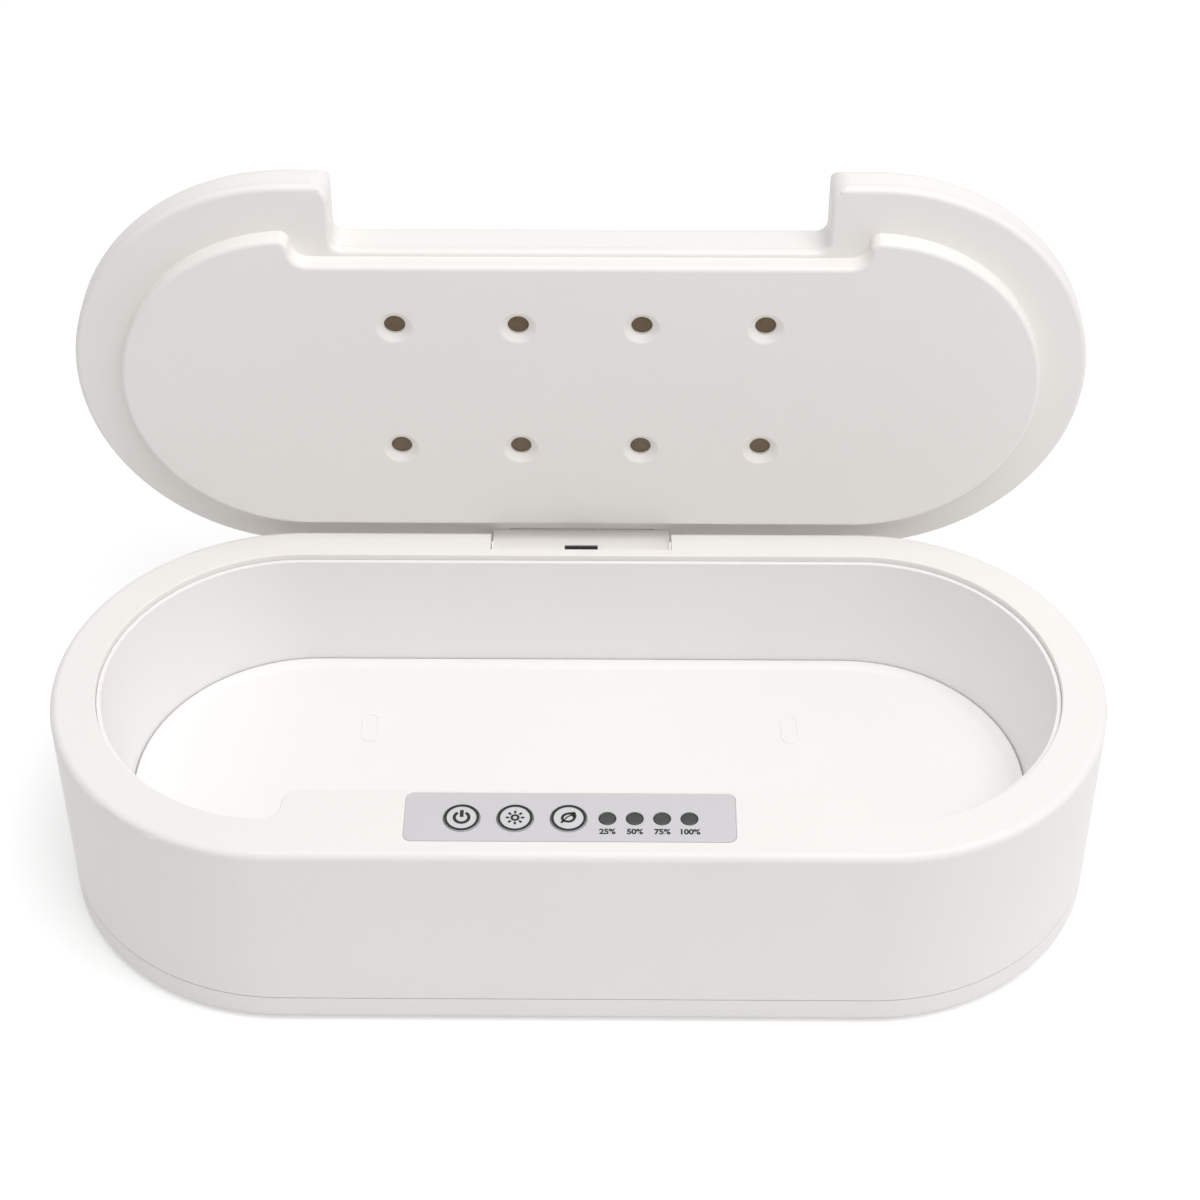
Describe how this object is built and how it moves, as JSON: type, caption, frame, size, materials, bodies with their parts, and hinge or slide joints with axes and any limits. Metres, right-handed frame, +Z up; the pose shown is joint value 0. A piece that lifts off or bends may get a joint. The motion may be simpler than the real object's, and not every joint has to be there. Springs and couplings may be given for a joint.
{
  "type": "uv sanitizer box",
  "caption": "Capsule-shaped tabletop box that holds a phone in a shallow cavity under a hinged lid with ultraviolet lights, with small round keys on a front ledge.",
  "frame": {"origin": "on the table plane under the centre of the base", "axes": "+X to the right along the length, +Y to the back (the hinge side), +Z up"},
  "size_m": [0.28, 0.1404, 0.1761],
  "materials": {
    "warm_white_abs": "satin",
    "soft_white_abs": "satin",
    "label_film": "matte",
    "key_plastic": "matte",
    "smoked_lens": "gloss",
    "circuit_board": "satin",
    "black_plastic": "matte",
    "led_resin": "gloss",
    "zinc_steel": "satin",
    "ribbon_film": "satin",
    "cell_can": "satin",
    "foam": "matte",
    "wire_jacket": "matte",
    "foot_rubber": "matte",
    "window_glass": "gloss",
    "magnet_metal": "satin"
  },
  "bodies": {
    "base": {"base_shell": "warm_white_abs", "bottom_cover": "warm_white_abs", "cavity_tub": "soft_white_abs", "floor_tray": "soft_white_abs", "control_label": "label_film", "indicator_lenses": "smoked_lens", "control_board": "circuit_board", "key_switches": "black_plastic", "indicator_leds": "led_resin", "control_screws": "zinc_steel", "control_ribbon": "ribbon_film", "main_board": "circuit_board", "usb_socket": "zinc_steel", "board_screws": "zinc_steel", "battery_cells": "cell_can", "cell_link": "zinc_steel", "battery_holder": "black_plastic", "battery_pad": "foam", "battery_leads": "wire_jacket", "hinge_lead": "wire_jacket", "hinge_pin": "zinc_steel", "lid_sensor": "circuit_board", "tub_screws": "zinc_steel", "cover_screws": "zinc_steel", "rubber_feet": "foot_rubber"},
    "lid": {"lid_shell": "warm_white_abs", "lid_panel": "warm_white_abs", "uv_windows": "window_glass", "uv_leds": "led_resin", "lid_boards": "circuit_board", "lid_board_screws": "zinc_steel", "arm_screws": "zinc_steel", "lid_magnet": "magnet_metal", "lid_lead": "wire_jacket", "lead_grommet": "foot_rubber", "hinge_arm": "warm_white_abs"},
    "power_key": {"power_key": "key_plastic"},
    "uv_key": {"uv_key": "key_plastic"},
    "eco_key": {"eco_key": "key_plastic"}
  },
  "joints": [
    {"name": "lid_hinge", "type": "hinge", "parent": "base", "child": "lid", "pos_m": [0, 0.0589, 0.057], "axis": [1, 0, 0], "range_deg": [0, 90]},
    {"name": "power_press", "type": "slide", "parent": "base", "child": "power_key", "axis": [0, 0, -1], "range_m": [0, 0.00035], "stiffness_N_per_m": 4000},
    {"name": "uv_press", "type": "slide", "parent": "base", "child": "uv_key", "axis": [0, 0, -1], "range_m": [0, 0.00035], "stiffness_N_per_m": 4000},
    {"name": "eco_press", "type": "slide", "parent": "base", "child": "eco_key", "axis": [0, 0, -1], "range_m": [0, 0.00035], "stiffness_N_per_m": 4000}
  ]
}
